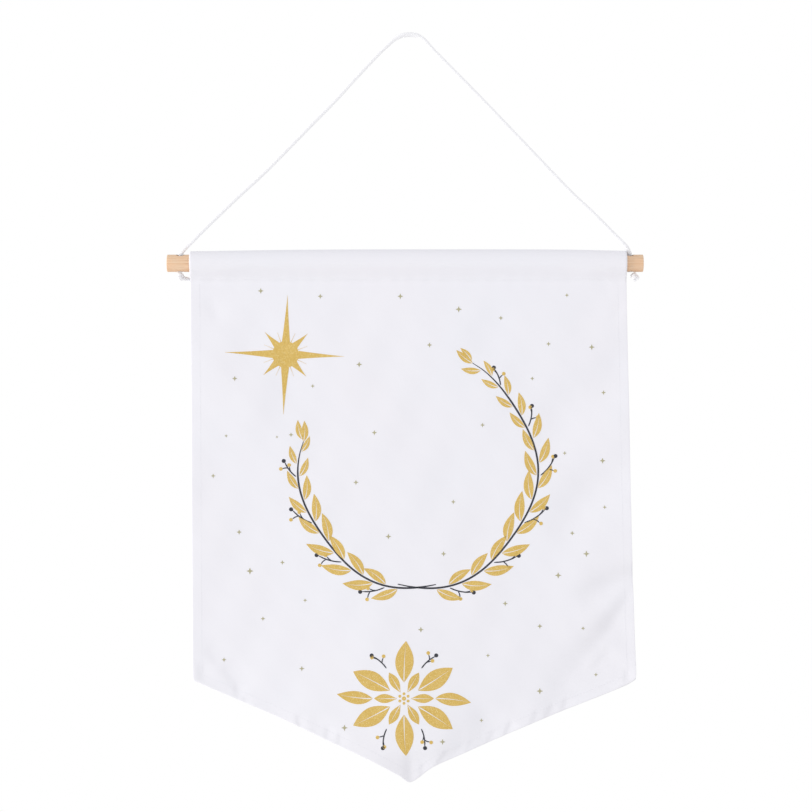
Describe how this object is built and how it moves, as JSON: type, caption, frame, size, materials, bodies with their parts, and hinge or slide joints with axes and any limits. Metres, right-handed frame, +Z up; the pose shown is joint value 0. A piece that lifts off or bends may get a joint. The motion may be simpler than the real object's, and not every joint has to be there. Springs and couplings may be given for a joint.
{
  "type": "church banner on a wooden rod with a hanging cord",
  "caption": "Hanging cloth banner with a pointed foot, sleeved over a round wooden rod whose knotted cord carries it.",
  "frame": {"origin": "where a hook or nail carries the hanging cord, at the underside of its topmost bend", "axes": "+Z up, +X to the right as seen facing the printed side, +Y from the printed side towards the back"},
  "size_m": [0.44, 0.0224, 0.6932],
  "materials": {
    "banner_fabric": "white woven polyester with a print, smooth and matt",
    "rod_wood": "sanded raw dowel",
    "cord_fabric": "white braided cord"
  },
  "bodies": {
    "root": {"banner_cloth": "banner_fabric", "wooden_rod": "rod_wood", "hanging_cord": "cord_fabric", "left_knot": "cord_fabric", "right_knot": "cord_fabric"}
  },
  "joints": []
}
